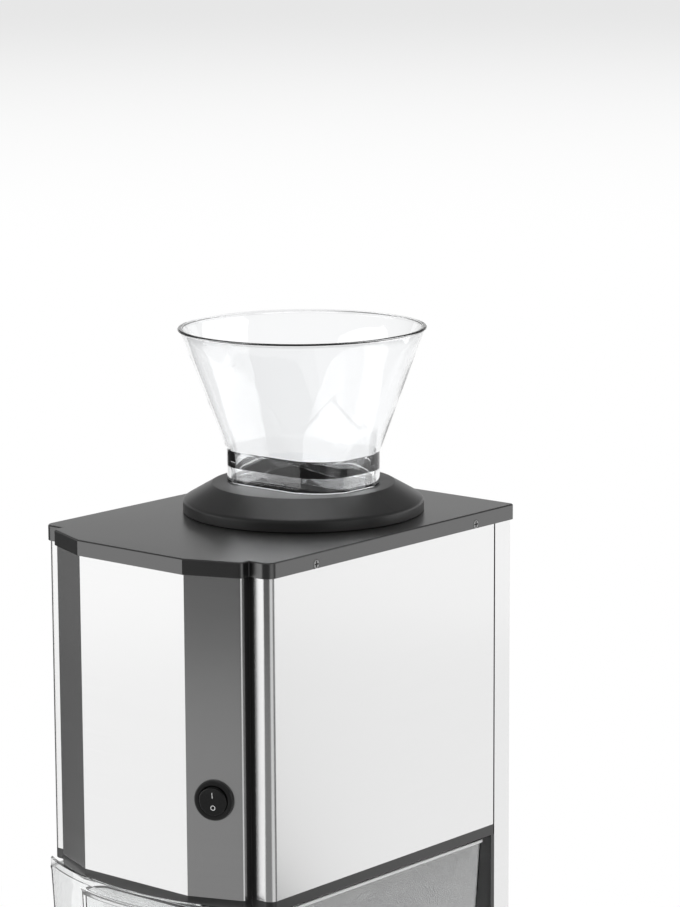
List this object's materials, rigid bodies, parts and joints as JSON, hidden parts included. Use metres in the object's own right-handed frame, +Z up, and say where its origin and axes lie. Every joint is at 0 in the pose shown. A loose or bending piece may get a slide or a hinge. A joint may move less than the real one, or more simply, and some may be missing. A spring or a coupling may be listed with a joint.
{
  "type": "electric ice crusher",
  "caption": "Electric bar ice crusher: steel body, lift-off clear hopper, toothed rotor between fixed combs, geared motor, rocker switch and a clear pull-out ice drawer.",
  "frame": {"origin": "middle of the whole object's footprint, on the table", "axes": "+X to the right as seen from the front, +Y to the back, +Z up; the drawer pulls out along -Y"},
  "size_m": [0.182, 0.257, 0.465],
  "materials": {
    "cover_steel": "fine satin, slightly darker than the panels",
    "panel_steel": "fine satin stainless sheet",
    "black_plastic": "satin black moulding",
    "collar_plastic": "satin dark moulding",
    "hopper_clear": "clear polished plastic",
    "drawer_clear": "clear polished plastic",
    "foot_rubber": "matte black rubber",
    "gland_rubber": "matte black rubber",
    "screw_steel": "bright machine screws",
    "switch_black": "glossy black",
    "rocker_black": "glossy black with white marks",
    "plunger_plastic": "red acetal",
    "cast_aluminium": "fine cast surface",
    "bush_bronze": "sintered bronze",
    "shaft_steel": "turned steel",
    "blade_steel": "ground stainless steel",
    "bracket_steel": "zinc-plated sheet",
    "gear_steel": "machined steel",
    "gear_nylon": "natural nylon",
    "chute_plastic": "white food-grade plastic",
    "case_plastic": "dark grey moulding",
    "stator_iron": "stacked laminations",
    "winding_copper": "varnished copper windings",
    "fan_plastic": "black moulding"
  },
  "bodies": {
    "casing": {"base": "black_plastic", "base_screws": "screw_steel", "cord_gland": "gland_rubber", "corner_post_left": "black_plastic", "corner_post_right": "black_plastic", "cover_screws": "screw_steel", "crusher_bushes": "bush_bronze", "crusher_housing": "cast_aluminium", "fixed_comb_left": "blade_steel", "fixed_comb_right": "blade_steel", "foot_1": "foot_rubber", "foot_2": "foot_rubber", "foot_3": "foot_rubber", "foot_4": "foot_rubber", "front_panel": "panel_steel", "gearbox_case": "case_plastic", "gearbox_plate": "cast_aluminium", "gearbox_screws": "screw_steel", "hopper_collar": "collar_plastic", "housing_screws": "screw_steel", "ice_chute": "chute_plastic", "idler_pin": "shaft_steel", "interlock_switch": "switch_black", "mid_deck": "black_plastic", "motor_bushes": "bush_bronze", "motor_coils": "winding_copper", "motor_front_bell": "cast_aluminium", "motor_rear_bell": "cast_aluminium", "motor_screws": "screw_steel", "motor_stator": "stator_iron", "rear_frame": "black_plastic", "rear_panel": "panel_steel", "rear_screws": "screw_steel", "side_panel_left": "panel_steel", "side_panel_right": "panel_steel", "support_bracket_left": "bracket_steel", "support_bracket_right": "bracket_steel", "switch_bezel": "switch_black", "switch_body": "switch_black", "top_cover": "cover_steel"},
    "drawer": {"drawer": "drawer_clear"},
    "hopper": {"hopper": "hopper_clear"},
    "rocker": {"switch_rocker": "rocker_black"},
    "rotor": {"crusher_shaft": "shaft_steel", "crusher_blade_1": "blade_steel", "crusher_blade_2": "blade_steel", "crusher_blade_3": "blade_steel", "crusher_blade_4": "blade_steel", "crusher_blade_5": "blade_steel", "blade_spacers": "shaft_steel", "main_gear": "gear_steel"},
    "idler": {"idler_gear": "gear_nylon"},
    "motor_rotor": {"motor_armature": "stator_iron", "motor_pinion": "gear_steel", "motor_fan": "fan_plastic"},
    "plunger": {"interlock_plunger": "plunger_plastic"}
  },
  "joints": [
    {"name": "drawer_slide", "type": "slide", "parent": "casing", "child": "drawer", "axis": [0, -1, 0], "range_m": [0, 0.2]},
    {"name": "hopper_lift", "type": "slide", "parent": "casing", "child": "hopper", "axis": [0, 0, 1], "range_m": [0, 0.13]},
    {"name": "rocker_tilt", "type": "hinge", "parent": "casing", "child": "rocker", "pos_m": [0.05853, -0.11551, 0.2082], "axis": [-0.9272, -0.3746, 0], "range_deg": [0, 16]},
    {"name": "rotor_spin", "type": "hinge", "parent": "casing", "child": "rotor", "pos_m": [0, 0.0329, 0.287], "axis": [0, -1, 0], "continuous": true},
    {"name": "idler_spin", "type": "hinge", "parent": "casing", "child": "idler", "pos_m": [0.01802, -0.02, 0.24576], "axis": [0, -1, 0], "continuous": true},
    {"name": "motor_spin", "type": "hinge", "parent": "casing", "child": "motor_rotor", "pos_m": [-0.00997, -0.06, 0.2258], "axis": [0, -1, 0], "continuous": true},
    {"name": "plunger_slide", "type": "slide", "parent": "casing", "child": "plunger", "axis": [0, -1, 0], "range_m": [0, 0.0025]}
  ],
  "couplings": [
    {"joint": "idler_spin", "follows": "rotor_spin", "ratio": -4},
    {"joint": "motor_spin", "follows": "rotor_spin", "ratio": 16},
    {"joint": "plunger_slide", "follows": "drawer_slide", "ratio": 0.0125}
  ]
}
